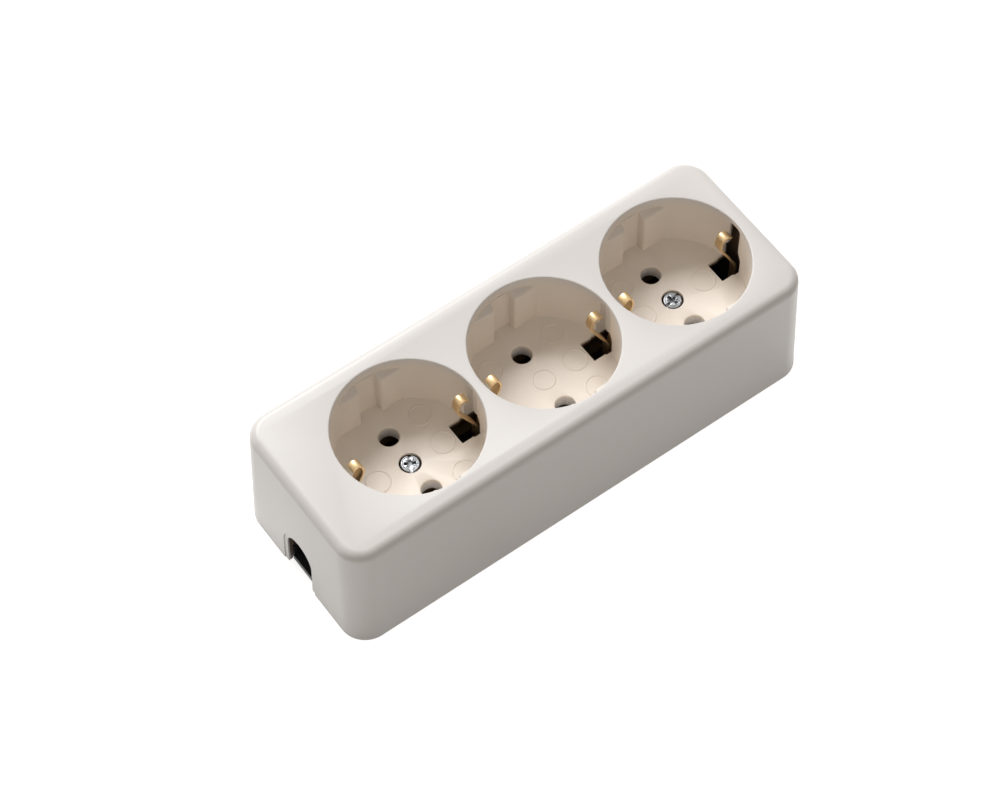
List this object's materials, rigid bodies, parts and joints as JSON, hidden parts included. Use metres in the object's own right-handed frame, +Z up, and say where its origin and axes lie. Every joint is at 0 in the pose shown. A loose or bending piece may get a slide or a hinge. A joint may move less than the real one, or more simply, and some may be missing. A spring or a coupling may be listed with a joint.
{
  "type": "triple socket adapter",
  "caption": "Free-standing socket block with a row of round earthed wells in a white moulded cover, brass earth clips, a black base plate and an arched cable notch at one end.",
  "frame": {"origin": "middle of the underside, on the surface that the block stands on", "axes": "+X along the row of wells, away from the cable notch; +Y across the block, along each well's pin line; +Z up, out of the wells"},
  "size_m": [0.1452, 0.053, 0.04],
  "materials": {
    "white_plastic": "satin white moulding",
    "black_plastic": "black moulding",
    "brass": "bare rolled brass",
    "zinc_steel": "bright zinc plate"
  },
  "bodies": {
    "root": {"cover": "white_plastic", "base_plate": "black_plastic", "live_busbar": "brass", "neutral_busbar": "brass", "earth_rail": "brass", "earth_clip_1": "brass", "earth_clip_2": "brass", "earth_clip_3": "brass", "earth_rivet_1": "brass", "earth_rivet_2": "brass", "earth_rivet_3": "brass", "earth_rivet_4": "brass", "earth_rivet_5": "brass", "earth_rivet_6": "brass", "cover_screw_1": "zinc_steel", "cover_screw_2": "zinc_steel", "cover_nut_1": "zinc_steel", "cover_nut_2": "zinc_steel", "live_terminal_screw": "zinc_steel", "neutral_terminal_screw": "zinc_steel", "earth_terminal_screw": "zinc_steel", "live_terminal_washer": "zinc_steel", "neutral_terminal_washer": "zinc_steel", "earth_terminal_washer": "zinc_steel", "cable_clamp": "black_plastic", "clamp_screw_1": "zinc_steel", "clamp_screw_2": "zinc_steel"}
  },
  "joints": []
}
